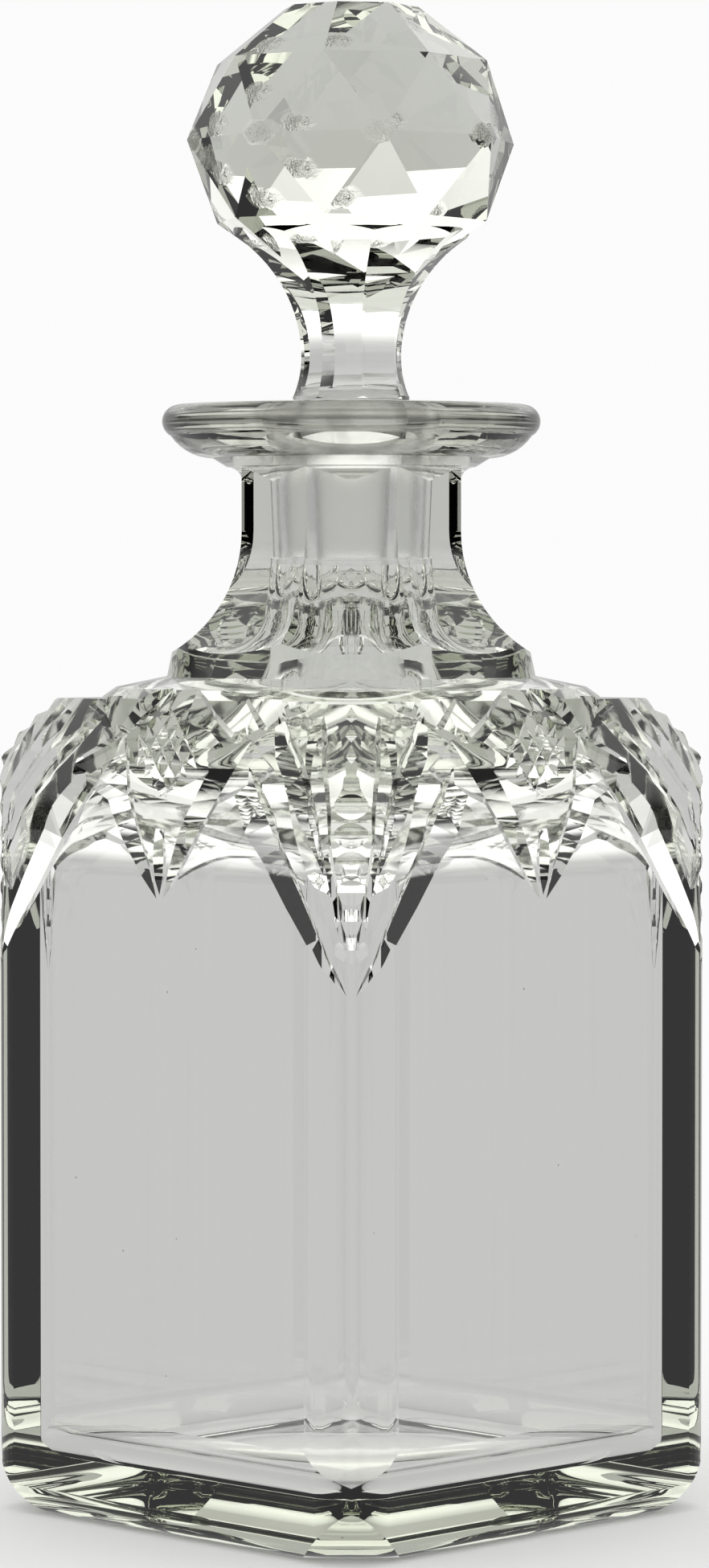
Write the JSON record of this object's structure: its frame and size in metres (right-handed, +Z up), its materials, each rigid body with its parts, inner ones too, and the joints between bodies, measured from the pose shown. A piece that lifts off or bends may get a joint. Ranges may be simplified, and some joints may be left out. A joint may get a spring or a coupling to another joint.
{
  "type": "cut crystal decanter",
  "caption": "Square cut-crystal spirit decanter with a panel-cut neck, round collar, mitre-cut shoulder and a lift-out faceted ball stopper on a ground plug.",
  "frame": {"origin": "centre of the base, on the surface the decanter stands on", "axes": "+Z up along the neck and stopper, +X and +Y square to the flat faces"},
  "size_m": [0.0836, 0.0836, 0.2387],
  "materials": {
    "crystal_body": "polished",
    "crystal_stopper": "polished"
  },
  "bodies": {
    "vessel": {"vessel": "crystal_body"},
    "stopper": {"stopper": "crystal_stopper"}
  },
  "joints": [
    {"name": "stopper_lift", "type": "slide", "parent": "vessel", "child": "stopper", "axis": [0, 0, 1], "range_m": [0, 0.032]}
  ]
}
